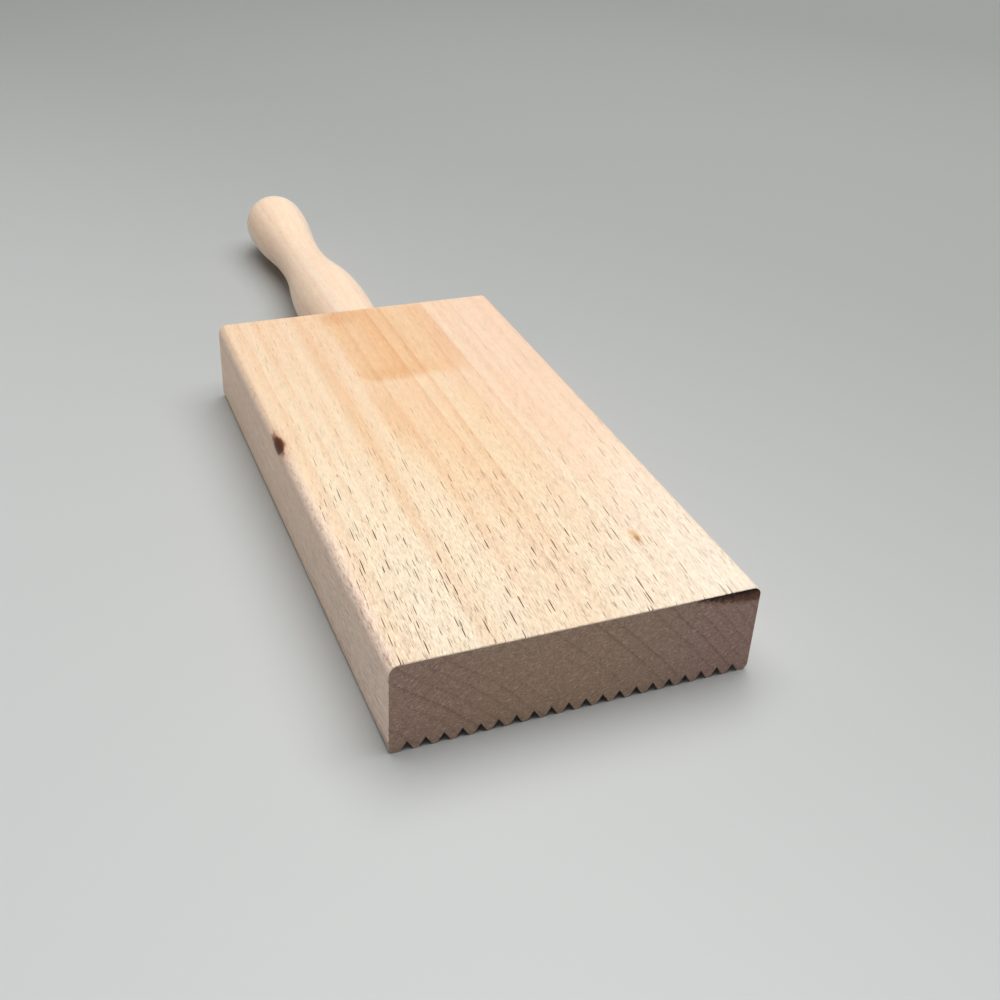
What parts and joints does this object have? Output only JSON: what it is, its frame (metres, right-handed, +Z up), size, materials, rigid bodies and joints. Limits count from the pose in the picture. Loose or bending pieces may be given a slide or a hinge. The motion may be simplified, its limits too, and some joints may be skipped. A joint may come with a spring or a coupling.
{
  "type": "gnocchi board",
  "caption": "Flat beech gnocchi board, smooth on one face and V-grooved lengthwise on the other, with a turned round handle glued into one end.",
  "frame": {"origin": "under the middle of the whole length, handle included, on the surface that the groove crests rest on", "axes": "+Y along the board and its handle, from the free end towards the knob; +X across the board; +Z up, out of the smooth face"},
  "size_m": [0.063, 0.2116, 0.0171],
  "materials": {
    "beech_board": "matte",
    "beech_handle": "satin"
  },
  "bodies": {
    "root": {"grooved_board": "beech_board", "turned_handle": "beech_handle"}
  },
  "joints": []
}
